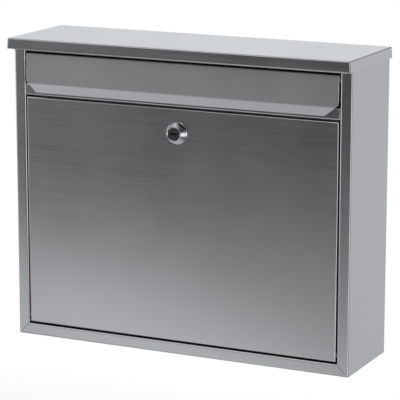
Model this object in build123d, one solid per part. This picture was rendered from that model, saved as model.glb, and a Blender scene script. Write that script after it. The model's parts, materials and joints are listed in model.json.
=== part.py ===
from build123d import *
import os
from math import radians, tan

# Wall mounted letterbox of folded stainless steel sheet, in millimetres.
# The origin is the middle of the four wall holes, on the wall. +Z is up and the front faces -Y.

# ---- Driving dimensions ----
WIDTH = 360.0              # outside of the casing's two sides
HEIGHT = 304.0             # underside of the casing to the top of the roof
DEPTH = 98.6               # front face of the casing to the wall
SHEET = 0.8                # thickness of every folded sheet
BEND = 1.6                 # outside radius of an ordinary fold
FLANGE = 11.7              # width of the casing's front flange
LIP_BEND = 1.8             # outside radius of the fold from the front flange to its lip
LIP_DEPTH = 14.0           # how far the lip goes back from the front face
REAR_FLANGE = 10.0         # width of the casing's rear flange
WALL_GAP = 1.6             # casing's rear flange to the wall, room for the rivet heads

ROOF_FRONT = 11.0          # roof past the casing's front face
ROOF_SIDE = 1.6            # roof past each side of the casing, at the top
ROOF_DROP = 10.7           # height of the roof's flanges
ROOF_SPLAY = 4.0           # degrees by which the roof's side flanges lean outwards
HEM = 1.8                  # thickness of the rolled hem along the roof's front edge

PANEL_HALF = 167.0         # half the width of the flap and the door
DOOR_FOOT = 13.5           # heights from here on are above the casing's underside
DOOR_TOP = 245.0
DOOR_DEPTH = 10.0
RAIL_FOOT = 246.4
RAIL_TOP = 258.2
RAIL_SETBACK = 1.0         # rail's face behind the casing's front face
FLAP_CUT_TOP = 260.5       # where the slanting cut of the flap's lip starts
FLAP_LIP_FOOT = 250.1
FLAP_LEAN = 2.0            # degrees by which the closed flap leans out towards its lip
FLAP_LIP_OUT = 2.6         # lip's lower edge in front of the flap's face
FLAP_LIP_HALF = 154.0      # half the length of the lip's lower edge
FLAP_TOP = 288.9
HEADER_FOOT = 290.7

FLAP_PIVOT = (4.0, 283.8)  # hinge axes: depth behind the front face, height
DOOR_PIVOT = (4.5, 19.6)
PIN_RADIUS = 1.5
PIN_ROOM = 0.05            # radial clearance of a pin in its hole
PIN_HEAD = (2.2, 1.4)      # radius and thickness
PIN_REACH = 2.8            # how far a pin passes through a panel's edge
CLIP_RADIUS = 2.8
CLIP_DEPTHS = (1.7, 1.2)   # clip's two faces, inside the panel's edge
SPACER_RADIUS = 2.3
SPACER_ROOM = 0.15         # end play on each side of a spacer

LOCK_HEIGHT = 221.4
LOCK_NOSE = 7.8            # how far the lock's bezel stands out of the door
BEZEL_RADIUS = 11.0
BEZEL_RIM = 0.9            # height of the straight rim at the foot of the bezel's cone
BEZEL_FACE = (7.0, 7.6)    # inner and outer radius of the bezel's flat front ring
PLUG_RADIUS = 6.45
BARREL_RADIUS = 9.3
BARREL_FLAT = 8.1          # centre of the barrel to each of its two flats
BARREL_LENGTH = 12.0       # behind the door's face
NUT_FLATS = 23.0           # across flats
TOOTHED_RADIUS = 12.6      # lock washer
TOOTH_COUNT = 12
CLIP_GROOVE = 1.5          # depth of the clip's groove in the plug
CAM_REACH = 34.0
CAM_THICK = 2.0
TAIL_HALF = 3.5            # half the side of the plug's square tail
BOLT_RADIUS = 2.4
BOLT_FLATS = 8.0
BOLT_HEAD = 3.5
BOLT_DEPTH = 7.5           # where the bolt's tip lies in the plug
WAFER_THICK = 1.0
WAFER_HALF_WIDTH = 5.7
WAFER_HALF_HEIGHT = 2.5
WAFER_PITCH = 2.0
FIRST_WAFER = -4.2         # depth of the wafer nearest the key
KEY_SLOT_HALF = (4.2, 1.1)

RIVET_SHANK = 1.6
RIVET_HEAD = 2.8
RIVET_RISE = 0.7           # height of a rivet's low head
RIVET_TAIL = (2.4, 1.2)    # radius and length of the pulled tail
RIVET_INSET = 5.5          # rivets to the casing's sides
RAIL_RIVET = (7.5, 252.8)  # depth and height of the crossbar's rivets

WALL_HOLE_RADIUS = 3.25
WALL_HOLES_ACROSS = 280.0
WALL_HOLES_UP = 200.0

# ---- Planes and levels worked out from them ----
BOTTOM = -HEIGHT / 2
ROOF_UNDERSIDE = HEIGHT / 2 - SHEET
FRONT = -DEPTH
CASING_BACK = -WALL_GAP
OPENING_HALF = WIDTH / 2 - FLANGE
RIVET_X = WIDTH / 2 - RIVET_INSET
NUT_WASHER = (SHEET, SHEET + 1.0)      # spans of depth, one behind the other
LOCK_NUT = (NUT_WASHER[1], NUT_WASHER[1] + 4.0)
CLIP_SPAN = (BARREL_LENGTH + 0.05, BARREL_LENGTH + 0.8)
CAM_SPAN = (BARREL_LENGTH + 1.0, BARREL_LENGTH + 1.0 + CAM_THICK)
CAM_WASHER = (CAM_SPAN[1], CAM_SPAN[1] + 1.0)
WAFER_DEPTHS = [FIRST_WAFER + WAFER_PITCH * index for index in range(5)]


def level(height):
    """Z of a height above the casing's underside."""
    return BOTTOM + height


def behind(depth):
    """Y of a depth behind the casing's front face."""
    return FRONT + depth


BACK_RIVETS = [(side * RIVET_X, level(height)) for side in (-1, 1) for height in (40, 112, 184, 256)]
BACK_RIVETS += [(x, level(6.0)) for x in (-110, 0, 110)]
ROOF_RIVETS = [(-RIVET_X, level(298.6)), (RIVET_X, level(298.6))]


def block(x, y, z):
    """Box between a low and a high value on each axis."""
    spans = (x, y, z)
    middle = [(low + high) / 2 for low, high in spans]
    return Pos(*middle) * Box(*[high - low for low, high in spans])


def rod_x(radius, x, depth, height):
    """Round bar along X between two X values."""
    return Pos(sum(x) / 2, behind(depth), level(height)) * Rot(0, 90, 0) * Cylinder(radius, x[1] - x[0])


def rod_y(radius, y, x, z):
    """Round bar along Y between two Y values."""
    return Pos(x, sum(y) / 2, z) * Rot(90, 0, 0) * Cylinder(radius, y[1] - y[0])


def folded(points, bends, half_length):
    """Sheet folded along outline points (depth, height), with a bend radius at each inner point."""
    with BuildPart() as sheet:
        with BuildSketch(Plane.YZ):
            with BuildLine():
                FilletPolyline(*[(behind(d), level(h)) for d, h in points], radius=bends)
                offset(amount=SHEET, side=Side.LEFT)
            make_face()
        extrude(amount=half_length, both=True)
    return sheet.part


def corner_waste(side, half, depth, heights, radius):
    """What a rounded upright corner loses: a square bar less its quarter circle."""
    x = sorted((side * half, side * (half - radius)))
    z = [level(h) for h in heights]
    bar = block(x, (behind(depth), behind(depth) + radius), z)
    axis = (side * (half - radius), behind(depth) + radius)
    round_part = Pos(*axis, sum(z) / 2) * Cylinder(radius, z[1] - z[0])
    return bar - round_part


def both_sides(make):
    """The same piece made for the left and the right side."""
    return [make(side) for side in (-1, 1)]


# ---- Fixed casing ----
def casing_wrap():
    """Left side, bottom and right side in one sheet, with front and rear flanges mitred at the corners."""
    half = WIDTH / 2
    with BuildPart() as wrap:
        with BuildLine() as path:
            corners = [(-half, ROOF_UNDERSIDE), (-half, BOTTOM), (half, BOTTOM), (half, ROOF_UNDERSIDE)]
            Polyline(*[(x, 0, z) for x, z in corners])
        with BuildSketch(Plane.XY.offset(ROOF_UNDERSIDE)):
            with BuildLine():
                FilletPolyline(
                    (-half + REAR_FLANGE, CASING_BACK),
                    (-half, CASING_BACK),
                    (-half, FRONT),
                    (-OPENING_HALF, FRONT),
                    (-OPENING_HALF, behind(LIP_DEPTH)),
                    radius=(BEND, BEND, LIP_BEND),
                )
                offset(amount=SHEET, side=Side.LEFT)
            make_face()
        sweep(path=path.line, transition=Transition.RIGHT)
    casing = wrap.part

    # open seam of each mitre, from just inside the fold to the lip
    seam_width, seam_length = 0.25, 17.0
    for side in (-1, 1):
        seam = Box(seam_width, LIP_DEPTH + 2, seam_length)
        middle = half - 2.4 - seam_length / 2 * 0.707
        place = Pos(side * middle, behind(LIP_DEPTH / 2), BOTTOM + half - middle)
        casing -= place * Rot(0, -side * 45, 0) * seam

    lip_span = (OPENING_HALF - 1, OPENING_HALF + SHEET + 1)
    for side in (-1, 1):
        x = sorted(side * value for value in lip_span)
        casing -= rod_x(PIN_RADIUS + PIN_ROOM, x, *FLAP_PIVOT)
        casing -= rod_x(PIN_RADIUS + PIN_ROOM, x, *DOOR_PIVOT)
        casing -= rod_x(RIVET_SHANK + PIN_ROOM, x, *RAIL_RIVET)
    for x, z in BACK_RIVETS + ROOF_RIVETS:
        casing -= rod_y(RIVET_SHANK + PIN_ROOM, (CASING_BACK - SHEET - 0.5, CASING_BACK + 0.5), x, z)

    drain_radius, drain_depth = 2.5, 30.0
    for x in (-120, 0, 120):
        casing -= Pos(x, behind(drain_depth), BOTTOM) * Cylinder(drain_radius, 4)

    # tabs folded in at the top of the sides, spot welded to the roof
    tab_length, tab_width = 11.0, 14.0
    for side in (-1, 1):
        x = sorted((side * (half - SHEET - tab_length), side * (half - SHEET / 2)))
        for depth in (22.0, 52.0, 82.0):
            y = (behind(depth) - tab_width / 2, behind(depth) + tab_width / 2)
            casing += block(x, y, (ROOF_UNDERSIDE - SHEET, ROOF_UNDERSIDE))
    return casing


def back_panel():
    """Back plate inside the casing's rear flanges, pressed out to the wall over its middle."""
    rim_back = CASING_BACK - SHEET
    side_gap, roof_gap = 0.9, 0.3
    rim_half = WIDTH / 2 - SHEET - side_gap
    rim_span = (BOTTOM + SHEET + side_gap, ROOF_UNDERSIDE - roof_gap)
    rim = block((-rim_half, rim_half), (rim_back - SHEET, rim_back), rim_span)

    pad_width, pad_low, pad_high, pad_corner = 334.0, 14.0, 288.0, 14.0
    pad_middle = (0, rim_back, level((pad_low + pad_high) / 2))
    with BuildPart() as pressing:
        with BuildSketch(Plane(pad_middle, x_dir=(-1, 0, 0), z_dir=(0, 1, 0))):
            RectangleRounded(pad_width, pad_high - pad_low, pad_corner)
        extrude(amount=-rim_back, taper=45)
    panel = rim + pressing.part - Pos(0, -SHEET, 0) * pressing.part

    for x in (-WALL_HOLES_ACROSS / 2, WALL_HOLES_ACROSS / 2):
        for z in (-WALL_HOLES_UP / 2, WALL_HOLES_UP / 2):
            panel -= rod_y(WALL_HOLE_RADIUS, (-2, 1), x, z)
    for x, z in BACK_RIVETS + ROOF_RIVETS:
        panel -= rod_y(RIVET_SHANK + PIN_ROOM, (rim_back - SHEET - 0.5, rim_back + 0.5), x, z)
    return panel


def roof_block(inset, length):
    """Solid inside of the roof's outline: flat top, sides leaning out towards the bottom."""
    top = HEIGHT / 2 - inset
    foot = HEIGHT / 2 - ROOF_DROP - (1 if inset else 0)
    top_half = WIDTH / 2 + ROOF_SIDE - inset
    foot_half = top_half + (top - foot) * tan(radians(ROOF_SPLAY))
    with BuildPart() as solid:
        with BuildSketch(Plane.XZ):
            Polygon((-foot_half, foot), (foot_half, foot), (top_half, top), (-top_half, top), align=None)
        extrude(amount=length / 2, both=True)
    return solid.part


def roof_cap():
    """Folded roof with flanges all round; the front one ends in a rolled hem."""
    front, back = FRONT - ROOF_FRONT, CASING_BACK + SHEET
    foot = HEIGHT / 2 - ROOF_DROP
    middle = Pos(0, (front + back) / 2, 0)
    outside = roof_block(0, back - front)
    upright = [e for e in outside.edges() if abs(e.tangent_at(0.5).Z) > 0.9]
    corner_radius, fold_radius = 1.5, 1.2
    outside = fillet(upright, corner_radius)
    outside = fillet(outside.faces().sort_by(Axis.Z)[-1].edges(), fold_radius)
    roof = middle * outside - middle * roof_block(SHEET, back - front - 2 * SHEET)

    hem_half = WIDTH / 2 + ROOF_SIDE - BEND
    hem_width = 6.0
    roof -= block((-hem_half, hem_half), (front - 1, front + SHEET + 1), (foot - 1, foot + HEM / 2))
    with BuildPart() as hem:
        with BuildSketch(Plane.YZ):
            with Locations((front + HEM / 2, foot + HEM / 2)):
                Circle(HEM / 2)
            with Locations((front + HEM / 2, foot + hem_width / 2)):
                Rectangle(HEM, hem_width - HEM)
        extrude(amount=hem_half, both=True)
    roof += hem.part
    for x, z in ROOF_RIVETS:
        roof -= rod_y(RIVET_SHANK + PIN_ROOM, (back - 1.5, back + 0.5), x, z)
    return roof


def header_rail():
    """Channel across the front under the roof, whose ends lap over the casing's front flanges."""
    top = ROOF_UNDERSIDE - BOTTOM
    foot_width, top_width = 10.0, 12.0
    points = [(foot_width, HEADER_FOOT), (-SHEET, HEADER_FOOT), (-SHEET, top), (top_width, top)]
    rail = folded(points[::-1], (BEND, BEND), WIDTH / 2)
    for side in (-1, 1):
        x = sorted((side * (OPENING_HALF - 0.5), side * WIDTH))
        rail -= block(x, (FRONT, behind(20)), (level(HEADER_FOOT) - 1, ROOF_UNDERSIDE + 1))
    return rail


def slot_rail():
    """Crossbar under the posting slot, with a catch lip that stops the door and holds the lock's cam."""
    half = OPENING_HALF - 0.1
    top_back, catch_front, catch_drop = 12.0, 11.6, 8.0
    points = [
        (top_back, RAIL_TOP),
        (RAIL_SETBACK, RAIL_TOP),
        (RAIL_SETBACK, RAIL_FOOT),
        (catch_front, RAIL_FOOT),
        (catch_front, RAIL_FOOT - catch_drop),
    ]
    rail = folded(points, (BEND, BEND, BEND - SHEET), half)
    for side in (-1, 1):
        x = sorted((side * half, side * (half - SHEET)))
        cap = block(x, (behind(RAIL_SETBACK), behind(top_back)), (level(RAIL_FOOT), level(RAIL_TOP)))
        for height in (RAIL_FOOT, RAIL_TOP):
            edge = [e for e in cap.edges() if abs(e.center().Y - behind(RAIL_SETBACK)) < 0.01
                    and abs(e.center().Z - level(height)) < 0.01]
            cap = fillet(edge, BEND)
        rail += cap
        rail -= corner_waste(side, half, RAIL_SETBACK, (RAIL_FOOT - 1, RAIL_TOP + 1), BEND)
        hole = sorted((side * (half - 3), side * (half + 1)))
        rail -= rod_x(RIVET_SHANK + PIN_ROOM, hole, *RAIL_RIVET)
    return rail


# ---- Rivets ----
def rivet(grip):
    """Blind rivet along Z: its low head stands on Z = 0 and its shank and tail go down."""
    head = Cylinder(RIVET_HEAD, RIVET_RISE, align=(Align.CENTER, Align.CENTER, Align.MIN))
    head = fillet(head.edges().sort_by(Axis.Z)[-1], RIVET_RISE * 0.8)
    shank = Cylinder(RIVET_SHANK, grip, align=(Align.CENTER, Align.CENTER, Align.MAX))
    tail = Cylinder(*RIVET_TAIL, align=(Align.CENTER, Align.CENTER, Align.MAX))
    return head + shank + Pos(0, 0, -grip) * tail


def back_rivets():
    """Rivets through the casing's rear flange and the back panel."""
    one = Rot(-90, 0, 0) * rivet(2 * SHEET)
    return Compound(children=[Pos(x, CASING_BACK, z) * one for x, z in BACK_RIVETS])


def roof_rivets():
    """Rivets through the roof's rear flange, the casing's rear flange and the back panel."""
    one = Rot(-90, 0, 0) * rivet(3 * SHEET)
    return Compound(children=[Pos(x, CASING_BACK + SHEET, z) * one for x, z in ROOF_RIVETS])


def rail_rivets():
    """Rivets that hold each end of the crossbar to the casing's lip."""
    depth, height = RAIL_RIVET
    gap = 0.1
    inner = OPENING_HALF - gap - SHEET

    def one(side):
        place = Pos(side * inner, behind(depth), level(height))
        return place * Rot(0, -side * 90, 0) * rivet(2 * SHEET + gap)

    return Compound(children=both_sides(one))


# ---- Hinge pins, which sit in the casing's lips ----
def hinge_pin(side, pivot):
    """Headed pin whose head is hidden behind the lip and whose shank reaches into the opening."""
    lip_back = OPENING_HALF + SHEET
    head_radius, head_thick = PIN_HEAD
    tip_chamfer = 0.3
    shank = rod_x(PIN_RADIUS, sorted((side * (PANEL_HALF - PIN_REACH), side * (lip_back + 0.5))), *pivot)
    shank = chamfer(shank.edges().sort_by(Axis.X)[0 if side > 0 else -1], tip_chamfer)
    head = rod_x(head_radius, sorted((side * lip_back, side * (lip_back + head_thick))), *pivot)
    return shank + head


def ring_on_pins(radius, near, far):
    """Four equal rings, one on each hinge pin, between two distances from the middle."""
    rings = []
    for side in (-1, 1):
        x = sorted((side * near, side * far))
        for pivot in (FLAP_PIVOT, DOOR_PIVOT):
            rings.append(rod_x(radius, x, *pivot) - rod_x(PIN_RADIUS + PIN_ROOM, x, *pivot))
    return Compound(children=rings)


def pin_clips():
    """Push-on retaining rings on the inner ends of the pins."""
    inner_face, outer_face = CLIP_DEPTHS
    return ring_on_pins(CLIP_RADIUS, PANEL_HALF - inner_face, PANEL_HALF - outer_face)


def pin_spacers():
    """Spacer washers that keep the flap and the door off the lips."""
    return ring_on_pins(SPACER_RADIUS, PANEL_HALF + SPACER_ROOM, OPENING_HALF - SPACER_ROOM)


# ---- Flap ----
def flap_panel():
    """Posting flap: flat face, lip pressed outwards with its corners cut off, and two hinge ears."""
    lip_bend, face_foot = 6.0, 258.4
    points = [(5.0, FLAP_TOP), (0, FLAP_TOP), (0, face_foot), (-FLAP_LIP_OUT, FLAP_LIP_FOOT)]
    flap = folded(points, (BEND, lip_bend), PANEL_HALF)

    ear_foot, ear_depth, ear_corner, front_corner = 262.5, 8.5, 3.0, 1.2
    for side in (-1, 1):
        x = sorted((side * PANEL_HALF, side * (PANEL_HALF - SHEET)))
        ear = block(x, (FRONT, behind(ear_depth)), (level(ear_foot), level(FLAP_TOP)))
        across = [e for e in ear.edges() if abs(e.tangent_at(0.5).X) > 0.9]
        ear = fillet([e for e in across if e.center().Y > behind(ear_depth) - 0.01], ear_corner)
        at_front = [e for e in ear.edges() if abs(e.center().Y - FRONT) < 0.01]
        ear = fillet([e for e in at_front if e.center().Z > level(FLAP_TOP) - 0.01], BEND)
        flap += ear
        flap -= corner_waste(side, PANEL_HALF, 0, (ear_foot, FLAP_TOP + 1), front_corner)
        hole = sorted((side * (PANEL_HALF - 2), side * (PANEL_HALF + 1)))
        flap -= rod_x(PIN_RADIUS + PIN_ROOM, hole, *FLAP_PIVOT)
        with BuildPart() as cut:
            with BuildSketch(Plane.XZ.offset(-behind(5))):
                Polygon(
                    (side * PANEL_HALF, level(FLAP_CUT_TOP)),
                    (side * FLAP_LIP_HALF, level(FLAP_LIP_FOOT)),
                    (side * FLAP_LIP_HALF, level(FLAP_LIP_FOOT - 5)),
                    (side * (PANEL_HALF + 5), level(FLAP_LIP_FOOT - 5)),
                    (side * (PANEL_HALF + 5), level(FLAP_CUT_TOP)),
                    align=None,
                )
            extrude(amount=20)
        flap -= cut.part
    pivot = Pos(0, behind(FLAP_PIVOT[0]), level(FLAP_PIVOT[1]))
    return pivot * Rot(-FLAP_LEAN, 0, 0) * pivot.inverse() * flap


# ---- Door and its lock ----
def lock_bar(grow, y):
    """Round bar with two flats, the section of the lock's threaded barrel."""
    bar = rod_y(BARREL_RADIUS + grow, y, 0, level(LOCK_HEIGHT))
    flat = BARREL_FLAT + grow
    z = (level(LOCK_HEIGHT) - flat, level(LOCK_HEIGHT) + flat)
    return bar & block((-BEZEL_RADIUS, BEZEL_RADIUS), (y[0] - 1, y[1] + 1), z)


def door_panel():
    """Door with edges folded back all round and open corners, hung on two pins at its foot."""
    z = (level(DOOR_FOOT), level(DOOR_TOP))
    edge_radius = 1.4
    outside = block((-PANEL_HALF, PANEL_HALF), (FRONT, behind(DOOR_DEPTH)), z)
    outside = fillet(outside.faces().sort_by(Axis.Y)[0].edges(), edge_radius)
    inner_half = PANEL_HALF - SHEET
    inner_z = (z[0] + SHEET, z[1] - SHEET)
    inside = block((-inner_half, inner_half), (behind(SHEET), behind(DOOR_DEPTH + 5)), inner_z)
    inside = fillet(inside.faces().sort_by(Axis.Y)[0].edges(), edge_radius - SHEET)
    door = outside - inside

    relief = 1.8
    for side in (-1, 1):
        x = sorted((side * (PANEL_HALF - relief), side * (PANEL_HALF + 1)))
        y = (behind(2.5), behind(DOOR_DEPTH + 1))
        door -= block(x, y, (z[0] - 1, z[0] + relief))
        door -= block(x, y, (z[1] - relief, z[1] + 1))
        hole = sorted((side * (PANEL_HALF - 2), side * (PANEL_HALF + 1)))
        door -= rod_x(PIN_RADIUS + PIN_ROOM, hole, *DOOR_PIVOT)
    return door - lock_bar(0.1, (FRONT - 1, behind(2)))


def turned(profile):
    """Solid of revolution about the lock's axis, from (radius, depth) points."""
    with BuildPart() as solid:
        with BuildSketch(Plane((0, 0, level(LOCK_HEIGHT)), x_dir=(1, 0, 0), z_dir=(0, 0, 1))):
            with BuildLine():
                Polyline(*[(radius, behind(depth)) for radius, depth in profile], close=True)
            make_face()
        revolve(axis=Axis((0, 0, level(LOCK_HEIGHT)), (0, 1, 0)))
    return solid.part


def lock_housing():
    """Conical bezel in front of the door and threaded barrel with two flats behind it."""
    bore = PLUG_RADIUS + PIN_ROOM
    face_in, face_out = BEZEL_FACE
    edge = 0.5                 # width of the broken edges
    bezel = turned([
        (bore, 0),
        (BEZEL_RADIUS, 0),
        (BEZEL_RADIUS, -BEZEL_RIM),
        (BEZEL_RADIUS - edge, -BEZEL_RIM - edge),
        (face_out + edge, edge - LOCK_NOSE),
        (face_out, -LOCK_NOSE),
        (face_in, -LOCK_NOSE),
        (bore, edge - LOCK_NOSE),
    ])
    barrel = lock_bar(0, (FRONT, behind(BARREL_LENGTH)))
    return bezel + barrel - rod_y(bore, (FRONT - 1, behind(BARREL_LENGTH + 1)), 0, level(LOCK_HEIGHT))


def lock_plane(depth):
    """Plane across the lock's axis that faces the wall."""
    return Plane((0, behind(depth), level(LOCK_HEIGHT)), x_dir=(-1, 0, 0), z_dir=(0, 1, 0))


def hexagon(across_flats, span):
    """Hexagonal bar on the lock's axis."""
    with BuildPart() as bar:
        with BuildSketch(lock_plane(span[0])):
            RegularPolygon(across_flats / 2, 6, major_radius=False)
        extrude(amount=span[1] - span[0])
    return bar.part


def lock_ring(radius, hole, span):
    """Flat ring on the lock's axis."""
    y = (behind(span[0]), behind(span[1]))
    disc = rod_y(radius, y, 0, level(LOCK_HEIGHT))
    return disc - rod_y(hole, (y[0] - 1, y[1] + 1), 0, level(LOCK_HEIGHT))


def lock_washer():
    """Toothed washer between the nut and the door."""
    ring = lock_ring(TOOTHED_RADIUS, BARREL_RADIUS + 0.1, NUT_WASHER)
    y = (behind(NUT_WASHER[0]) - 1, behind(NUT_WASHER[1]) + 1)
    notch_radius = 0.9
    for notch in PolarLocations(TOOTHED_RADIUS, TOOTH_COUNT):
        place = notch.position
        ring -= rod_y(notch_radius, y, place.X, level(LOCK_HEIGHT) + place.Y)
    return ring


def lock_nut():
    """Hexagon nut on the barrel."""
    y = (behind(LOCK_NUT[0]) - 1, behind(LOCK_NUT[1]) + 1)
    return hexagon(NUT_FLATS, LOCK_NUT) - rod_y(BARREL_RADIUS + 0.1, y, 0, level(LOCK_HEIGHT))


def lock_plug():
    """Turning cylinder: key slot in front, wafer slots across it, square tail with a threaded hole."""
    axis_z = level(LOCK_HEIGHT)
    recess, face_chamfer, slot_end = 0.7, 0.4, 5.4
    plug = rod_y(PLUG_RADIUS, (behind(recess - LOCK_NOSE), behind(CLIP_SPAN[0])), 0, axis_z)
    plug = chamfer(plug.edges().sort_by(Axis.Y)[0], face_chamfer)
    groove_span = (behind(CLIP_SPAN[0]), behind(CLIP_SPAN[1] + 0.05))
    groove = rod_y(PLUG_RADIUS - CLIP_GROOVE, groove_span, 0, axis_z)
    tail = block((-TAIL_HALF, TAIL_HALF), (behind(CLIP_SPAN[1]), behind(CAM_SPAN[1])),
                 (axis_z - TAIL_HALF, axis_z + TAIL_HALF))
    plug += groove + tail
    slot_half, slot_rise = KEY_SLOT_HALF
    slot_y = (behind(-LOCK_NOSE), behind(slot_end))
    plug -= block((-slot_half, slot_half), slot_y, (axis_z - slot_rise, axis_z + slot_rise))
    for depth in WAFER_DEPTHS:
        half_width = WAFER_THICK / 2 + PIN_ROOM
        half_height = WAFER_HALF_HEIGHT + PIN_ROOM
        y = (behind(depth) - half_width, behind(depth) + half_width)
        plug -= block((-PLUG_RADIUS - 1, PLUG_RADIUS + 1), y, (axis_z - half_height, axis_z + half_height))
    return plug - rod_y(BOLT_RADIUS + PIN_ROOM, (behind(BOLT_DEPTH - 0.5), behind(20)), 0, axis_z)


def lock_wafers():
    """Five wafers that slide across the plug and let it turn when the key lifts them."""
    axis_z = level(LOCK_HEIGHT)
    window_half, window_rise = [value + 0.1 for value in KEY_SLOT_HALF]
    z = (axis_z - WAFER_HALF_HEIGHT, axis_z + WAFER_HALF_HEIGHT)
    wafers = []
    for depth in WAFER_DEPTHS:
        y = (behind(depth) - WAFER_THICK / 2, behind(depth) + WAFER_THICK / 2)
        plate = block((-WAFER_HALF_WIDTH, WAFER_HALF_WIDTH), y, z)
        window_z = (axis_z - window_rise, axis_z + window_rise)
        window = block((-window_half, window_half), (y[0] - 1, y[1] + 1), window_z)
        wafers.append(plate - window)
    return Compound(children=wafers)


def plug_clip():
    """Retaining ring in the plug's groove, behind the barrel."""
    outer, mouth_half = 8.0, 1.6
    ring = lock_ring(outer, PLUG_RADIUS - CLIP_GROOVE + PIN_ROOM, CLIP_SPAN)
    y = (behind(CLIP_SPAN[0]) - 1, behind(CLIP_SPAN[1]) + 1)
    mouth = block((-mouth_half, mouth_half), y, (level(LOCK_HEIGHT) - outer - 1, level(LOCK_HEIGHT)))
    return ring - mouth


def lock_cam():
    """Flat cam on the plug's square tail; it points sideways with the door unlocked."""
    hub, arm_half, arm_corner = 8.5, 6.5, 2.5
    square = 2 * TAIL_HALF + 0.2
    with BuildPart() as cam:
        with BuildSketch(lock_plane(CAM_SPAN[0])):
            Circle(hub)
            with Locations((CAM_REACH / 2, 0)):
                RectangleRounded(CAM_REACH, 2 * arm_half, arm_corner)
            Rectangle(square, square, mode=Mode.SUBTRACT)
        extrude(amount=CAM_THICK)
    return cam.part


def cam_washer():
    """Washer under the head of the cam's bolt."""
    outer = 5.5
    return lock_ring(outer, BOLT_RADIUS + 0.1, CAM_WASHER)


def cam_bolt():
    """Hexagon bolt that holds the cam on the plug."""
    head = hexagon(BOLT_FLATS, (CAM_WASHER[1], CAM_WASHER[1] + BOLT_HEAD))
    shank = rod_y(BOLT_RADIUS, (behind(BOLT_DEPTH), behind(CAM_WASHER[1] + 1)), 0, level(LOCK_HEIGHT))
    return head + shank


NODES = {
    "casing_wrap": casing_wrap(),
    "back_panel": back_panel(),
    "roof_cap": roof_cap(),
    "header_rail": header_rail(),
    "slot_rail": slot_rail(),
    "back_rivets": back_rivets(),
    "roof_rivets": roof_rivets(),
    "rail_rivets": rail_rivets(),
    "flap_pin_left": hinge_pin(-1, FLAP_PIVOT),
    "flap_pin_right": hinge_pin(1, FLAP_PIVOT),
    "door_pin_left": hinge_pin(-1, DOOR_PIVOT),
    "door_pin_right": hinge_pin(1, DOOR_PIVOT),
    "pin_clips": pin_clips(),
    "pin_spacers": pin_spacers(),
    "flap_panel": flap_panel(),
    "door_panel": door_panel(),
    "lock_housing": lock_housing(),
    "lock_washer": lock_washer(),
    "lock_nut": lock_nut(),
    "lock_plug": lock_plug(),
    "lock_wafers": lock_wafers(),
    "plug_clip": plug_clip(),
    "lock_cam": lock_cam(),
    "cam_washer": cam_washer(),
    "cam_bolt": cam_bolt(),
}

os.makedirs("parts", exist_ok=True)
for name, solid in NODES.items():
    export_step(solid, f"parts/{name}.step")
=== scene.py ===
import json
from math import cos, pi, radians, sin, tau

import bmesh
import bpy
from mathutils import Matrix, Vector


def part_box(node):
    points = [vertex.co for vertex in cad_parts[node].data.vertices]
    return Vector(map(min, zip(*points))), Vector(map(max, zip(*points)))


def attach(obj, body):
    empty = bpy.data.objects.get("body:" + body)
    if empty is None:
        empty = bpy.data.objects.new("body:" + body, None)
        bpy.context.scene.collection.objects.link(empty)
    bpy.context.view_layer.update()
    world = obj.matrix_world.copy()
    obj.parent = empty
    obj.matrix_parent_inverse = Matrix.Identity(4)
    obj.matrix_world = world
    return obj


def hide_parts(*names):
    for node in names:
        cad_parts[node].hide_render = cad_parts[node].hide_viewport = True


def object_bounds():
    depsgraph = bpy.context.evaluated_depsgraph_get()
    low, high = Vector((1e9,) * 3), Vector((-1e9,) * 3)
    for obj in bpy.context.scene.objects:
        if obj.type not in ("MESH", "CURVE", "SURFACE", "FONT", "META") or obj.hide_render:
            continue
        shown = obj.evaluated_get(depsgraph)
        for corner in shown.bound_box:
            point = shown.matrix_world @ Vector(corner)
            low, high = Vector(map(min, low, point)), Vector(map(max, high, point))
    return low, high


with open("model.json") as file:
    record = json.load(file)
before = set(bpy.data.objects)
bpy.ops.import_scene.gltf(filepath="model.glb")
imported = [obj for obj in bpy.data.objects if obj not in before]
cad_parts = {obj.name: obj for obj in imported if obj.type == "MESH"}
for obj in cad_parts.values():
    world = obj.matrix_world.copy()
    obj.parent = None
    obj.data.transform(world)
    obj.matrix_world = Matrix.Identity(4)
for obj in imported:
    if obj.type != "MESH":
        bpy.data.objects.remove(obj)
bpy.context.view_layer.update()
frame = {"nodes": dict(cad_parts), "record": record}

# ---- Casing strip ----
# One long strip of brushed stainless sheet forms the left side, the floor and the right side.
# It is sheared, folded on a press brake to flanges front and rear, and mitred at the lower corners.
# The brush ran along the strip, so its grain is upright on the sides and level on the floor.


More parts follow.
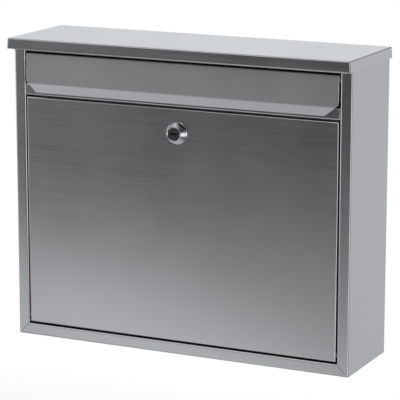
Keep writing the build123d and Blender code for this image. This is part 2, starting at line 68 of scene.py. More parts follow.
class Flow:
    """A socket in a node tree. Sums and products of it add Math nodes to the tree."""

    def __init__(self, tree, socket=None):
        self.tree = tree
        self.socket = socket

    def made(self, kind, settings, inputs, output=0):
        """Any other node: its settings are set first, then the values or links of its sockets."""
        node = self.tree.nodes.new(kind)
        for name, value in settings.items():
            if name == "more_items":
                for _ in range(value):
                    node.index_switch_items.new()
            else:
                setattr(node, name, value)
        for name, value in inputs.items():
            if isinstance(value, Flow):
                self.tree.links.new(value.socket, node.inputs[name])
            else:
                node.inputs[name].default_value = value
        return Flow(self.tree, node.outputs[output])

    def maths(self, operation, *values):
        return self.made("ShaderNodeMath", {"operation": operation}, dict(enumerate(values)))

    def of(self, operation):
        return self.maths(operation, self)

    def __add__(self, other):
        return self.maths("ADD", self, other)

    def __mul__(self, other):
        return self.maths("MULTIPLY", self, other)

    def __sub__(self, other):
        return self.maths("SUBTRACT", self, other)

    def __rsub__(self, other):
        return self.maths("SUBTRACT", other, self)

    def __truediv__(self, other):
        return self.maths("DIVIDE", self, other)

    def __rtruediv__(self, other):
        return self.maths("DIVIDE", other, self)

    def __neg__(self):
        return self * -1

    __radd__ = __add__
    __rmul__ = __mul__

    def above(self, limit):
        return self.maths("GREATER_THAN", self, limit)

    def noise(self, stretch, detail=2.0):
        """Noise from 0 to 1 whose cells have the given lengths, in metres, along each axis."""
        scaled = self.made("ShaderNodeVectorMath", {"operation": "DIVIDE"}, {0: self, 1: stretch})
        return self.made("ShaderNodeTexNoise", {}, {"Vector": scaled, "Scale": 1.0, "Detail": detail})

    def blend(self, first, second):
        """Colour between two colours, where this value is the share of the second."""
        settings = {"data_type": "RGBA"}
        colours = {0: self, 6: (*first, 1.0), 7: (*second, 1.0)}
        return self.made("ShaderNodeMix", settings, colours, output=2)


def new_finish(name, **constants):
    """A metal or plastic material, its shader, and the flow of places on the piece, in metres."""
    material = bpy.data.materials.new(name)
    material.use_nodes = True
    tree = material.node_tree
    shader = tree.nodes["Principled BSDF"]
    for socket, value in constants.items():
        shader.inputs[socket.replace("_", " ")].default_value = value
    place = Flow(tree).made("ShaderNodeTexCoord", {}, {}, output="Object")
    return material, shader, place


def feed(shader, place, colour=None, roughness=None, relief=None, height=0.0):
    """Links what varies over the surface: its colour, its roughness, and a relief of a height in metres."""
    links = place.tree.links
    if colour:
        links.new(colour.socket, shader.inputs["Base Color"])
    if roughness:
        links.new(roughness.socket, shader.inputs["Roughness"])
    if relief:
        bump = place.made("ShaderNodeBump", {}, {"Strength": 1.0, "Distance": height, "Height": relief})
        links.new(bump.socket, shader.inputs["Normal"])


steel_dark, steel_light = (0.50, 0.505, 0.51), (0.66, 0.665, 0.67)


def brushed_steel(name, along, turn, anisotropy=0.6, dull=0.23):
    """Stainless sheet whose grain runs along axis 0, 1 or 2, in three widths of brush line.

    The turn, in whole turns, is the way the anisotropy draws reflections out; dull is the mean roughness.
    """
    hair_wide, hair_long, stroke_times, band_times, band_long = 0.00022, 0.030, 3.2, 9.0, 0.25
    smear_cell, brush_depth = (0.07, 0.07, 0.09), 0.000007
    grain_varied, smear_varied = 0.16, 0.08
    material, shader, place = new_finish(
        name, Metallic=1.0, Anisotropic=anisotropy, Anisotropic_Rotation=turn)

    def lines(wide, long, detail):
        """Noise drawn out along the grain into lines of a width and a length, in metres."""
        return place.noise(tuple(long if axis == along else wide for axis in range(3)), detail)

    hair = lines(hair_wide, hair_long, 2.0)
    stroke = lines(stroke_times * hair_wide, stroke_times * hair_long, 1.0)
    band = lines(band_times * hair_wide, band_long, 3.0)
    smear = place.noise(smear_cell, 3.0)
    grain = hair * 0.5 + stroke * 0.3 + band * 0.2
    colour = (grain * 0.7 + smear * 0.3).blend(steel_dark, steel_light)
    mean = (grain_varied + smear_varied) / 2
    roughness = grain * grain_varied + smear * smear_varied + (dull - mean)
    feed(shader, place, colour, roughness, grain, brush_depth)
    return material


def add_piece(name, mesh, body, nodes=()):
    """A finished mesh as a piece that rides on a body and stands for the given CAD nodes."""
    mesh.name = name
    piece = bpy.data.objects.new(name, mesh)
    bpy.context.scene.collection.objects.link(piece)
    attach(piece, body)
    if nodes:
        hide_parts(*nodes)
    return piece


def shade_round(mesh, crease=38.0):
    """Smooth shading everywhere but over edges sharper than the crease angle, in degrees."""
    mesh.shade_smooth()
    mesh.set_sharp_from_angle(angle=radians(crease))


def applied(piece):
    """The piece's mesh with its modifiers applied; the temporary object goes."""
    bpy.context.view_layer.update()
    evaluated = piece.evaluated_get(bpy.context.evaluated_depsgraph_get())
    mesh = bpy.data.meshes.new_from_object(evaluated)
    bpy.data.objects.remove(piece)
    return mesh


same_point, same_plane, all_smooth = 2e-6, radians(0.5), 180.0


def eased(node, ease=0.0001, crease=38.0):
    """The node's shape with its triangles joined into plain faces and its cut edges eased."""
    least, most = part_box(node)
    mesh = frame["nodes"][node].data.copy()
    form = bmesh.new()
    form.from_mesh(mesh)
    bmesh.ops.remove_doubles(form, verts=form.verts, dist=same_point)
    bmesh.ops.dissolve_limit(form, angle_limit=same_plane, verts=form.verts, edges=form.edges)
    form.to_mesh(mesh)
    form.free()
    shade_round(mesh, all_smooth)
    blank = bpy.data.objects.new("blank", mesh)
    bpy.context.scene.collection.objects.link(blank)
    bevel = blank.modifiers.new("eased_edges", "BEVEL")
    bevel.width = ease
    bevel.segments = 2
    bevel.limit_method = "ANGLE"
    bevel.angle_limit = radians(crease)
    bevel.use_clamp_overlap = False
    flat = blank.modifiers.new("flat_faces", "WEIGHTED_NORMAL")
    flat.keep_sharp = True
    finished = applied(blank)
    finished.materials.clear()
    for vertex in finished.vertices:
        vertex.co = [min(max(value, least[axis]), most[axis]) for axis, value in enumerate(vertex.co)]
    return finished


strip_low, strip_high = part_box("casing_wrap")
strip_half = strip_high.x
upright_steel = brushed_steel("brushed_steel_upright", along=2, turn=0.0)
level_steel = brushed_steel("brushed_steel_level", along=0, turn=0.25, dull=0.20)
strip = eased("casing_wrap")
strip.materials.append(upright_steel)
strip.materials.append(level_steel)
# the mitres run where the bottom and the side are equally far, so the level part is nearer the bottom
for face in strip.polygons:
    rise = face.center.z - strip_low.z
    inset = strip_half - abs(face.center.x)
    face.material_index = 1 if rise < inset else 0
add_piece("casing_strip", strip, "casing", ["casing_wrap"])

# ---- Back panel ----
# A plate of the same sheet with a duller mill finish, riveted inside the rear flanges.
# Its middle is pressed out to the wall, and four holes in the pressing take the wall screws.
mill_steel = brushed_steel("mill_steel", along=0, turn=0.25, anisotropy=0.3, dull=0.42)
back = eased("back_panel")
back.materials.append(mill_steel)
add_piece("back_plate", back, "casing", ["back_panel"])

# ---- Roof and header rail ----
# The roof is a tray of brushed sheet turned upside down, with a rolled hem along its front flange.
# The header rail is a folded channel behind it that closes the casing above the flap.
roof_steel = brushed_steel("brushed_steel_roof", along=0, turn=0.0, anisotropy=0.0, dull=0.28)
roof = eased("roof_cap")
roof.materials.append(roof_steel)
roof.materials.append(level_steel)
# the flat top is rubbed evenly, and the flanges keep the grain of the sheet
facing_up = 0.5
for face in roof.polygons:
    face.material_index = 0 if abs(face.normal.z) > facing_up else 1
add_piece("roof", roof, "casing", ["roof_cap"])
header = eased("header_rail")
header.materials.append(level_steel)
add_piece("header", header, "casing", ["header_rail"])

# ---- Spot welds ----
# Six tabs folded in at the top of the casing's sides are spot welded up to the roof.
# The electrode's tip leaves a shallow round dent in each tab, with a raised rim tinted by the heat.


def spun(flow, outline, sides, shaped=None):
    """A closed form turned about +Z from (radius, height) points; shaped() may change each radius."""
    seam_gap = 1e-6
    grid = flow.made("GeometryNodeMeshGrid", {}, {"Vertices X": len(outline), "Vertices Y": sides + 1})
    index = flow.made("GeometryNodeInputIndex", {}, {})
    ring = (index / (sides + 1)).of("FLOOR")
    angle = (index - ring * (sides + 1)) * (tau / sides)
    columns = []
    for column in zip(*outline):
        settings = {"data_type": "FLOAT", "more_items": len(outline) - 2}
        sockets = {0: ring, **dict(enumerate(column, 1))}
        columns.append(flow.made("GeometryNodeIndexSwitch", settings, sockets))
    radius, height = columns
    if shaped:
        radius = shaped(radius, height, angle)
    sockets = {"X": radius * angle.of("COSINE"), "Y": radius * angle.of("SINE"), "Z": height}
    place = flow.made("ShaderNodeCombineXYZ", {}, sockets)
    bent = flow.made("GeometryNodeSetPosition", {}, {"Geometry": grid, "Position": place})
    return flow.made("GeometryNodeMergeByDistance", {}, {"Geometry": bent, "Distance": seam_gap})


def grown(name, form, sizes, places, facings, material, crease=38.0):
    """A mesh of equal pieces: form() builds one about +Z, and one is set at each place, facing its way."""
    tree = bpy.data.node_groups.new(name, "GeometryNodeTree")
    tree.interface.new_socket("Geometry", in_out="OUTPUT", socket_type="NodeSocketGeometry")
    tree.interface.new_socket("Geometry", in_out="INPUT", socket_type="NodeSocketGeometry")
    keys = {}
    for size in sizes:
        socket = tree.interface.new_socket(size, in_out="INPUT", socket_type="NodeSocketFloat")
        keys[size] = socket.identifier
    entry = tree.nodes.new("NodeGroupInput")
    flow = Flow(tree)
    one = form(flow, **{size: Flow(tree, entry.outputs[size]) for size in sizes})
    facing = flow.made("GeometryNodeInputNamedAttribute", {"data_type": "FLOAT_VECTOR"}, {"Name": "facing"})
    turn = flow.made("FunctionNodeAlignRotationToVector", {"axis": "Z"}, {"Vector": facing})
    points = Flow(tree, entry.outputs["Geometry"])
    sockets = {"Points": points, "Instance": one, "Rotation": turn}
    spread = flow.made("GeometryNodeInstanceOnPoints", {}, sockets)
    real = flow.made("GeometryNodeRealizeInstances", {}, {"Geometry": spread})
    dressed = flow.made("GeometryNodeSetMaterial", {}, {"Geometry": real, "Material": material})
    tree.links.new(dressed.socket, tree.nodes.new("NodeGroupOutput").inputs["Geometry"])

    seeds = bpy.data.meshes.new("seeds")
    seeds.from_pydata(places, [], [])
    ways = seeds.attributes.new("facing", "FLOAT_VECTOR", "POINT")
    for index, way in enumerate(facings):
        ways.data[index].vector = way
    blank = bpy.data.objects.new("blank", seeds)
    bpy.context.scene.collection.objects.link(blank)
    modifier = blank.modifiers.new(name, "NODES")
    modifier.node_group = tree
    for size, value in sizes.items():
        modifier[keys[size]] = value
    mesh = applied(blank)
    shell = bmesh.new()
    shell.from_mesh(mesh)
    bmesh.ops.recalc_face_normals(shell, faces=shell.faces)
    shell.to_mesh(mesh)
    shell.free()
    shade_round(mesh, crease)
    return mesh


def plain_finish(name, dark, light, dull, varied, cell, height, **constants):
    """Plain metal or plastic: fine speckle and broad patches change its colour and its polish.

    Its mean roughness is dull, varied by so much in all. A speckle's size and its relief are in metres.
    """
    patch_cell = 14 * cell
    material, shader, place = new_finish(name, **constants)
    speckle = place.noise((cell, cell, cell), 3.0)
    patch = place.noise((patch_cell, patch_cell, patch_cell), 2.0)
    mix = speckle * 0.5 + patch * 0.5
    feed(shader, place, mix.blend(dark, light), mix * varied + (dull - varied / 2), speckle, height)
    return material


def weld_mark(flow, rim, rise):
    """The dent and its raised rim, on a disc let into the tab."""
    outline = [(0, 0.2 * rise), (0.6 * rim, 0.25 * rise), (0.75 * rim, rise), (0.88 * rim, 0.9 * rise),
               (rim, 0), (rim, -rise), (0, -rise)]
    return spun(flow, outline, sides=24)


tab_depths, tab_inset, tab_drop = (0.022, 0.052, 0.082), 0.0062, 0.0008
tinted_steel = plain_finish("heat_tinted_steel", (0.40, 0.36, 0.33), (0.58, 0.57, 0.57),
                            dull=0.34, varied=0.12, cell=0.0005, height=0.00001, Metallic=1.0)
weld_z = strip_high.z - tab_drop
weld_places = [(side * (strip_half - tab_inset), strip_low.y + depth, weld_z)
               for side in (-1, 1) for depth in tab_depths]
weld_sizes = {"rim": 0.0026, "rise": 0.00012}
weld_facings = [(0, 0, -1)] * len(weld_places)
welds = grown("spot_welds", weld_mark, weld_sizes, weld_places, weld_facings, tinted_steel)
add_piece("spot_welds", welds, "casing")

# ---- Rivets ----
# Blind aluminium rivets with a low head, a sunk mandrel and a pulled tail inside the box.
# Eleven hold the back plate to the rear flanges, two the roof to both, and two the crossbar's ends.


def loose_boxes(node):
    """Lowest and highest corner of each separate solid in a CAD node, in the order of X, then Z."""
    form = bmesh.new()
    form.from_mesh(frame["nodes"][node].data)
    bmesh.ops.remove_doubles(form, verts=form.verts, dist=same_point)
    waiting, boxes = set(form.verts), []
    while waiting:
        reached, found = [waiting.pop()], []
        while reached:
            vertex = reached.pop()
            found.append(vertex.co.copy())
            near = {link.other_vert(vertex) for link in vertex.link_edges} & waiting
            waiting -= near
            reached.extend(near)
        least = Vector([min(point[axis] for point in found) for axis in range(3)])
        most = Vector([max(point[axis] for point in found) for axis in range(3)])
        boxes.append((least, most))
    form.free()
    return sorted(boxes, key=lambda box: (round(box[0].x, 5), round(box[0].z, 5)))


def blind_rivet(flow, head, rise, shank, grip, tail, pull):
    """The sunk mandrel, the head over it, the shank through the sheets and the pulled tail."""
    mandrel = 0.34 * head
    outline = [(0, 0.2 * rise), (0.8 * mandrel, 0.25 * rise), (mandrel, 0.8 * rise),
               (1.25 * mandrel, rise), (0.62 * head, 0.97 * rise), (0.84 * head, 0.75 * rise),
               (0.97 * head, 0.35 * rise), (head, 0), (shank, 0), (shank, -grip), (tail, -grip),
               (1.04 * tail, -grip - 0.4 * pull), (0.85 * tail, -grip - 0.8 * pull),
               (mandrel, -grip - 0.9 * pull), (0.8 * mandrel, -grip - pull), (0, -grip - pull)]
    return spun(flow, outline, sides=32)


rivet_metal = plain_finish("rivet_aluminium", (0.62, 0.63, 0.65), (0.80, 0.81, 0.82),
                           dull=0.36, varied=0.18, cell=0.0003, height=0.000012, Metallic=1.0)
rivet_rise, rivet_pull, rivet_shank, rivet_tail = 0.0007, 0.0012, 0.0016, 0.0023
for rivet_node, along in (("back_rivets", 1), ("roof_rivets", 1), ("rail_rivets", 0)):
    places, facings = [], []
    for least, most in loose_boxes(rivet_node):
        place = (least + most) / 2
        way = Vector((0, 1, 0)) if along == 1 else Vector((-1 if place.x > 0 else 1, 0, 0))
        length = most[along] - least[along]
        facings.append(way)
        places.append(place + way * (length / 2 - rivet_rise))
        head = (most.z - least.z) / 2
    grip = length - rivet_rise - rivet_pull
    sizes = {"head": head, "rise": rivet_rise, "shank": rivet_shank, "grip": grip,
             "tail": rivet_tail, "pull": rivet_pull}
    rivets = grown(rivet_node, blind_rivet, sizes, places, facings, rivet_metal)
    add_piece("blind_" + rivet_node, rivets, "casing", [rivet_node])

# ---- Crossbar ----
# A channel folded from sheet, riveted between the casing's lips under the posting slot.
# Its rear lip hangs down behind the door's top edge, and the lock's cam catches on it.
bar = eased("slot_rail")
bar.materials.append(level_steel)
add_piece("crossbar", bar, "casing", ["slot_rail"])

# ---- Hinge pins, spacers and clips ----
# Turned steel pins stand in the casing's lips: the flap swings on the upper two, the door on the lower.
# A nylon ring on each keeps the panel off the lip, and a toothed spring clip is pushed on its end.


def headed_pin(flow, head, thick, shank, length):
    """A flat head below the seat and a plain shank above it, both with their edges broken."""
    edge = 0.15 * shank
    outline = [(0, -thick), (head - edge, -thick), (head, edge - thick), (head, -edge),
               (head - edge, 0), (shank, 0), (shank, length - edge), (shank - edge, length), (0, length)]
    return spun(flow, outline, sides=40)


def moulded_ring(flow, outer, hole, wide):
    """A plain ring with its edges broken."""
    edge = 0.12 * wide
    outline = [(hole, edge), (hole + edge, 0), (outer - edge, 0), (outer, edge), (outer, wide - edge),
               (outer - edge, wide), (hole + edge, wide), (hole, wide - edge), (hole, edge)]
    return spun(flow, outline, sides=40)


def across_sector(angle, count):
    """Where an angle lies in one of a number of equal sectors, from -0.5 to 0.5 across it."""
    sector = angle * (count / tau)
    return sector - sector.of("FLOOR") - 0.5


def toothed_clip(flow, outer, hole, wide):
    """A dished spring ring whose inner edge is cut into teeth."""
    teeth, tooth_half, tooth_deep = 6, 0.28, 0.4 * hole

    def cut(radius, height, angle):
        between = across_sector(angle, teeth).of("ABSOLUTE").above(tooth_half)
        inner = 1 - radius.above(1.3 * hole)
        return radius + between * inner * tooth_deep

    thin, dish_top, dish_foot, edge = 0.45 * wide, 0.7 * outer, 0.8 * outer, 0.98 * outer
    outline = [(hole, wide - thin), (dish_top, 0.2 * wide), (dish_foot, 0), (edge, 0),
               (outer, 0.1 * wide), (outer, thin), (edge, thin + 0.05 * wide),
               (dish_foot, thin + 0.05 * wide), (dish_top, 0.2 * wide + thin), (hole, wide),
               (hole, wide - thin)]
    return spun(flow, outline, sides=72, shaped=cut)


turned_steel = plain_finish("turned_pin_steel", (0.50, 0.50, 0.51), (0.68, 0.68, 0.69),
                            dull=0.26, varied=0.14, cell=0.0002, height=0.000008, Metallic=1.0)
nylon = plain_finish("natural_nylon", (0.76, 0.75, 0.71), (0.86, 0.85, 0.82),
                     dull=0.42, varied=0.12, cell=0.0004, height=0.00001,
                     Subsurface_Weight=0.15, Subsurface_Scale=0.001)
zinc = plain_finish("zinc_plate", (0.52, 0.55, 0.60), (0.72, 0.72, 0.68),
                    dull=0.33, varied=0.20, cell=0.0004, height=0.00001, Metallic=1.0)
pin_shank, pin_thick, ring_room = 0.0015, 0.0014, 0.00005
for pin_node in ("flap_pin_left", "flap_pin_right", "door_pin_left", "door_pin_right"):
    least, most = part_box(pin_node)
    place = (least + most) / 2
    inward = -1 if place.x > 0 else 1
    length = most.x - least.x
    seat = place - Vector((inward * (length / 2 - pin_thick), 0, 0))
    head = (most.z - least.z) / 2
    sizes = {"head": head, "thick": pin_thick, "shank": pin_shank, "length": length - pin_thick}
    pin = grown(pin_node, headed_pin, sizes, [seat], [(inward, 0, 0)], turned_steel)
    add_piece("turned_" + pin_node, pin, "casing", [pin_node])
for ring_node, ring_form, finish, slot in (("pin_spacers", moulded_ring, nylon, "spacer_nylon"),
                                           ("pin_clips", toothed_clip, zinc, "zinc_plated")):
    places, facings = [], []
    for least, most in loose_boxes(ring_node):
        place = (least + most) / 2
        inward = -1 if place.x > 0 else 1
        wide = most.x - least.x
        facings.append((inward, 0, 0))
        places.append(place - Vector((inward * wide / 2, 0, 0)))
        outer = (most.z - least.z) / 2
    sizes = {"outer": outer, "hole": pin_shank + ring_room, "wide": wide}
    rings = grown(ring_node, ring_form, sizes, places, facings, finish)
    add_piece("fitted_" + ring_node, rings, "casing", [ring_node])

# ---- Flap ----
# Brushed sheet with two folded ears that turn on the upper pins.
# Its lower edge is pressed outwards as a finger lip, and the lip's corners are cut off.
flap_steel = brushed_steel("brushed_steel_flap", along=0, turn=0.25, dull=0.36)
flap = eased("flap_panel")
flap.materials.append(flap_steel)
add_piece("flap", flap, "flap", ["flap_panel"])

# ---- Door ----
# A shallow pan of brushed sheet, with its edges folded back on a press brake.
# It hangs on the lower pins, and a hole with two flats near its top edge takes the lock.
door = eased("door_panel")
door.materials.append(level_steel)
add_piece("door", door, "door", ["door_panel"])

# ---- Lock housing ----
# A die-cast cam lock: a polished chrome bezel in front of the door, hollow-ground to its face ring.
# Behind it a threaded barrel with two flats goes through the door's matching hole.
lock_joint = next(joint for joint in frame["record"]["behaviour"]["joints"] if joint["name"] == "lock_turn")
lock_place = Vector(lock_joint["pos_m"])
housing_low, housing_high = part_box("lock_housing")
plug_low, plug_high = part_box("lock_plug")
lock_bore = (plug_high.x - plug_low.x) / 2 + ring_room


def bezel_and_barrel(flow, rim, nose, bore, barrel, flat, length, pitch):
    """Front up: the barrel from its end, its thread, the bezel's rim, hollow cone and face ring."""
    thread_turns, turn_steps, thread_deep = 11, 8, 0.4 * pitch
    root, neck, door_face = 0.95 * barrel, 0.0006, -0.0001
    outline = [(bore, -length), (root, -length)]
    for step in range(1, thread_turns * turn_steps):
        outline.append((barrel, -length + step * (pitch / turn_steps)))
    edge, rim_thick = 0.0001, 0.0008
    cone_foot, cone_top, cone_low = rim - 0.00055, bore + 0.0015, 0.0015
    outline += [(root, -neck), (root, 0), (rim - edge, 0), (rim, edge), (rim, rim_thick),
                (rim - 0.00012, rim_thick + 0.00018), (cone_foot + edge, cone_low - 0.0002)]
    cone_steps, hollow, cone_below = 10, 0.06, 0.0006
    for step in range(cone_steps + 1):
        share = step / cone_steps
        reach = cone_foot + (cone_top - cone_foot) * share - (rim - bore) * (hollow * sin(pi * share))
        outline.append((reach, cone_low + (nose - (cone_low + cone_below)) * share))
    # the face ring's points: how far out from the bore, and how far behind the front
    for out, behind in ((0.00132, 0.00028), (0.00105, 0.00006), (0.0009, 0), (0.00055, 0),
                        (0.00035, 0.00012), (0.00012, 0.0005), (0, 0.0007)):
        outline.append((bore + out, nose - behind))
    outline.append((bore, -length))

    def threaded(radius, height, angle):
        """Cuts the thread into the barrel's outside, and then its two flats."""
        behind_door = 1 - height.above(door_face)
        outside = behind_door * radius.above(bore + 0.001)
        turn = height / pitch + angle / tau
        wave = (turn - turn.of("FLOOR") - 0.5).of("ABSOLUTE") * 2
        cut = radius - outside * wave * thread_deep
        steep = angle.of("SINE").of("ABSOLUTE")
        chord = flat / steep.maths("MAXIMUM", steep, 0.01) + (1 - behind_door)
        return cut.maths("MINIMUM", cut, chord)

    return spun(flow, outline, sides=96, shaped=threaded)


chrome = plain_finish("polished_chrome", (0.80, 0.81, 0.83), (0.90, 0.90, 0.91),
                      dull=0.07, varied=0.05, cell=0.0006, height=0.000002, Metallic=1.0)
housing_sizes = {
    "rim": housing_high.x, "nose": lock_place.y - housing_low.y, "bore": lock_bore,
    "barrel": 0.0093, "flat": 0.0081, "length": housing_high.y - lock_place.y, "pitch": 0.001,
}
housing = grown("lock_housing", bezel_and_barrel, housing_sizes, [lock_place], [(0, -1, 0)], chrome,
                crease=32.0)
add_piece("lock_bezel", housing, "door", ["lock_housing"])

# ---- Lock washer and nut ----
# A toothed washer of spring steel and a pressed hexagon nut, both zinc plated.
# The washer slides on the barrel inside the door, and the nut behind it clamps the lock there.


def toothed_washer(flow, outer, hole, wide):
    """A flat ring with teeth round its outer edge."""
    teeth, tooth_half, tooth_deep = 20, 0.3, 0.12 * outer

    def cut(radius, height, angle):
        between = across_sector(angle, teeth).of("ABSOLUTE").above(tooth_half)
        return radius - between * radius.above(0.9 * outer) * tooth_deep

    edge, waist = 0.1 * wide, 0.85 * outer
    outline = [(hole, edge), (hole + edge, 0), (waist, 0.2 * wide), (outer - edge, 0), (outer, edge),
               (outer, wide - edge), (outer - edge, wide), (waist, 0.8 * wide), (hole + edge, wide),
               (hole, wide - edge), (hole, edge)]
    return spun(flow, outline, sides=160, shaped=cut)


def six_flats(apothem):
    """Limits a radius to a hexagon whose flats are this far from the axis."""
    def cut(radius, height, angle):
        off = across_sector(angle, 6) * (tau / 6)
        return radius.maths("MINIMUM", radius, apothem / off.of("COSINE"))
    return cut


def hexagon_nut(flow, flats, hole, wide):
    """A nut of a width over its flats, with the corners of both faces turned off."""
    corner, face, edge = 0.59 * flats, 0.48 * flats, 0.1 * wide
    outline = [(hole, edge), (hole + edge, 0), (face, 0), (corner, 2 * edge), (corner, wide - 2 * edge),
               (face, wide), (hole + edge, wide), (hole, wide - edge), (hole, edge)]
    return spun(flow, outline, sides=96, shaped=six_flats(flats / 2))


washer_low, washer_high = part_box("lock_washer")
barrel_room = 0.0001
barrel_hole = housing_sizes["barrel"] + barrel_room
washer_sizes = {"outer": washer_high.x, "hole": barrel_hole, "wide": washer_high.y - washer_low.y}
washer_seat = (0, washer_low.y, lock_place.z)
washer = grown("lock_washer", toothed_washer, washer_sizes, [washer_seat], [(0, 1, 0)], zinc)
add_piece("toothed_washer", washer, "door", ["lock_washer"])
nut_low, nut_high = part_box("lock_nut")
nut_sizes = {"flats": nut_high.z - nut_low.z, "hole": barrel_hole, "wide": nut_high.y - nut_low.y}
nut_seat = (0, nut_low.y, lock_place.z)
nut = grown("lock_nut", hexagon_nut, nut_sizes, [nut_seat], [(0, 1, 0)], zinc, crease=30.0)
add_piece("hexagon_nut", nut, "door", ["lock_nut"])

# ---- Plug, wafers and clip ----
# The turning cylinder of zinc, with a key slot across its face. Its dark colour is painted shade and a
# painted dark reflection of its recessed face.
# Five brass wafers slide in it, and an open spring clip behind the barrel keeps it in.
# the plug's dark colour is painted: the shade in its recess and the dark reflection on its face
plug_painted_shade = plain_finish("plug_painted_shade_finish", (0.17, 0.17, 0.18), (0.32, 0.32, 0.34),
                          dull=0.20, varied=0.12, cell=0.0005, height=0.000004, Metallic=1.0)
brass = plain_finish("stamped_brass", (0.60, 0.44, 0.20), (0.80, 0.64, 0.36),
                     dull=0.30, varied=0.16, cell=0.0004, height=0.00001, Metallic=1.0)
for node, name, finish, slot in (("lock_plug", "key_plug", plug_painted_shade, "plug_dark_chrome"),
                                 ("lock_wafers", "brass_wafers", brass, "wafer_brass"),
                                 ("plug_clip", "spring_clip", zinc, "zinc_plated")):
    part = eased(node, ease=0.00006, crease=30.0)
    part.materials.append(finish)
    add_piece(name, part, "lock", [node])

# ---- Cam, washer and bolt ----
# The cam is stamped from steel plate, and its square hole fits the plug's square tail.
# A hexagon bolt with a flat washer, both zinc plated like the cam, holds it there.


def hexagon_bolt(flow, flats, head, shank, length):
    """A shank below the seat, and above it a washer face and a hexagon head dished on top."""
    corner, face, edge = 0.59 * flats, 0.47 * flats, 0.1 * head
    outline = [(0, -length), (shank - edge, -length), (shank, edge - length), (shank, 0),
               (face, 0), (face, 0.5 * edge), (corner, 0.5 * edge), (corner, head - 1.5 * edge),
               (0.46 * flats, head), (0.3 * flats, head - 0.4 * edge), (0, head - 0.5 * edge)]
    return spun(flow, outline, sides=72, shaped=six_flats(flats / 2))


cam = eased("lock_cam", ease=0.00025, crease=30.0)
cam.materials.append(zinc)
add_piece("stamped_cam", cam, "lock", ["lock_cam"])
cam_washer_low, cam_washer_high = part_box("cam_washer")
bolt_low, bolt_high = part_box("cam_bolt")
bolt_shank, bolt_room = 0.0024, 0.0001
ring_sizes = {"outer": cam_washer_high.x, "hole": bolt_shank + bolt_room,
              "wide": cam_washer_high.y - cam_washer_low.y}
ring_seat = (0, cam_washer_low.y, lock_place.z)
ring = grown("cam_washer", moulded_ring, ring_sizes, [ring_seat], [(0, 1, 0)], zinc)
add_piece("flat_washer", ring, "lock", ["cam_washer"])
bolt_seat = (0, cam_washer_high.y, lock_place.z)
bolt_sizes = {"flats": bolt_high.z - bolt_low.z, "head": bolt_high.y - cam_washer_high.y,
              "shank": bolt_shank, "length": cam_washer_high.y - bolt_low.y}
bolt = grown("cam_bolt", hexagon_bolt, bolt_sizes, [bolt_seat], [(0, 1, 0)], zinc, crease=30.0)
add_piece("hexagon_bolt", bolt, "lock", ["cam_bolt"])

# ---- Studio ----
# A round pale floor that fades at its edge lies under the hanging box, in a white surround.
# Broad soft panels in the surround light the box, a lamp overhead lights the floor, the lens is long.
floor_drop = 0.13
low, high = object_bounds()
floor_z = low.z - floor_drop
pad_centre, pad_solid, pad_faded, pad_sides = (-0.22, -0.62), 0.40, 0.85, 64
unlit, pad_glow = (0.0, 0.0, 0.0), (0.5, 0.5, 0.5)
pale, pale_shader, pale_place = new_finish("pale_floor", Roughness=0.9, Specular_IOR_Level=0.1)
pale_shade = pale_place.noise((0.6, 0.6, 0.6)).blend((0.94, 0.94, 0.94), (0.97, 0.97, 0.97))
feed(pale_shader, pale_place, pale_shade)
reach = pale_place.made("ShaderNodeVectorMath", {"operation": "DISTANCE"},
                        {0: pale_place, 1: (*pad_centre, floor_z)}, output="Value")
lit = pale_place.made("ShaderNodeLightPath", {}, {}, output="Is Camera Ray")
pale_place.tree.links.new(lit.blend(unlit, pad_glow).socket, pale_shader.inputs["Emission Color"])
pale_shader.inputs["Emission Strength"].default_value = 1.0
fade = pale_place.made("ShaderNodeMapRange", {"interpolation_type": "SMOOTHSTEP"},
                       {"Value": reach, "From Min": pad_faded, "From Max": pad_solid})
pale_place.tree.links.new(fade.socket, pale_shader.inputs["Alpha"])
pad = bmesh.new()
bmesh.ops.create_circle(pad, cap_ends=True, radius=pad_faded, segments=pad_sides)
bmesh.ops.translate(pad, verts=pad.verts, vec=(*pad_centre, floor_z))
pad_mesh = bpy.data.meshes.new("floor")
pad.to_mesh(pad_mesh)
pad.free()
pad_mesh.materials.append(pale)
floor_pad = bpy.data.objects.new("floor", pad_mesh)
bpy.context.scene.collection.objects.link(floor_pad)

world = bpy.data.worlds.new("studio")
world.use_nodes = True
bpy.context.scene.world = world
surround = world.node_tree
backdrop = surround.nodes["Background"]
toward_sky = Flow(surround).made("ShaderNodeTexCoord", {}, {}, output="Generated")
# each soft panel: degrees round to the right from the front, degrees up, tightness, brightness
soft_panels = {
    "left_edge": (-60, -8, 20, 1.8),
    "front_upper": (-32, 42, 14, 1.02),
    "front_middle": (-25, 18, 20, 0.28),
    "front_fill": (14, 5, 26, 0.40),
    "overhead": (0, 90, 4, 0.5),
    "rear_left": (-154, 14, 8, 1.05),
    "rear_right": (154, -12, 10, 0.76),
    "right_front": (68, -12, 24, 2.2),
}
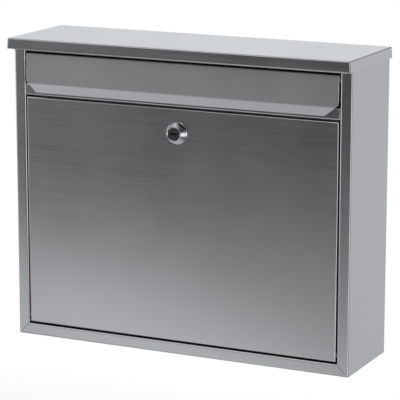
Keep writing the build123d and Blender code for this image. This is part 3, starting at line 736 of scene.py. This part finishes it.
# the panels add to a dim glow from all round
glow = 0.015
for around, up, tightness, brightness in soft_panels.values():
    around, up = radians(around), radians(up)
    facing = (sin(around) * cos(up), -cos(around) * cos(up), sin(up))
    share = toward_sky.made("ShaderNodeVectorMath", {"operation": "DOT_PRODUCT"},
                            {0: toward_sky, 1: facing}, output="Value")
    glow = glow + share.maths("POWER", share.maths("MAXIMUM", share, 0.0), tightness) * brightness
seen = Flow(surround).made("ShaderNodeLightPath", {}, {}, output="Is Camera Ray")
shown = seen + glow * (1 - seen)
surround.links.new(shown.socket, backdrop.inputs["Strength"])
cool_light, white = (0.955, 0.98, 1.0), (1.0, 1.0, 1.0)
surround.links.new(seen.blend(cool_light, white).socket, backdrop.inputs["Color"])

bpy.context.scene.view_settings.view_transform = "Standard"


def softbox(name, place, across, deep, turned, spread, power):
    """A lamp that faces down: its place and size in metres, two angles in degrees, its power in watts."""
    lamp = bpy.data.lights.new(name, "AREA")
    lamp.shape = "RECTANGLE"
    lamp.size, lamp.size_y = across, deep
    lamp.spread = radians(spread)
    lamp.color = cool_light
    lamp.energy = power
    light = bpy.data.objects.new(name, lamp)
    light.location = place
    light.rotation_euler.z = radians(turned)
    bpy.context.scene.collection.objects.link(light)


softbox("pool_lamp", (-0.25, -0.50, 1.0), across=1.0, deep=0.1, turned=30, spread=26, power=0.56)

view_azimuth, view_tilt = radians(25.86), radians(12.33)
view_distance, view_lens = 2.0675, 188.46
view_right, view_up = 0.0029, -0.0050
middle = (low + high) / 2
forward = Vector((-sin(view_azimuth) * cos(view_tilt), cos(view_azimuth) * cos(view_tilt), -sin(view_tilt)))
sideways = Vector((cos(view_azimuth), sin(view_azimuth), 0))
target = middle + view_right * sideways + view_up * sideways.cross(forward)
lens = bpy.data.cameras.new("camera")
lens.lens = view_lens
camera = bpy.data.objects.new("camera", lens)
camera.location = target - view_distance * forward
camera.rotation_euler = forward.to_track_quat("-Z", "Y").to_euler()
bpy.context.scene.collection.objects.link(camera)
bpy.context.scene.camera = camera
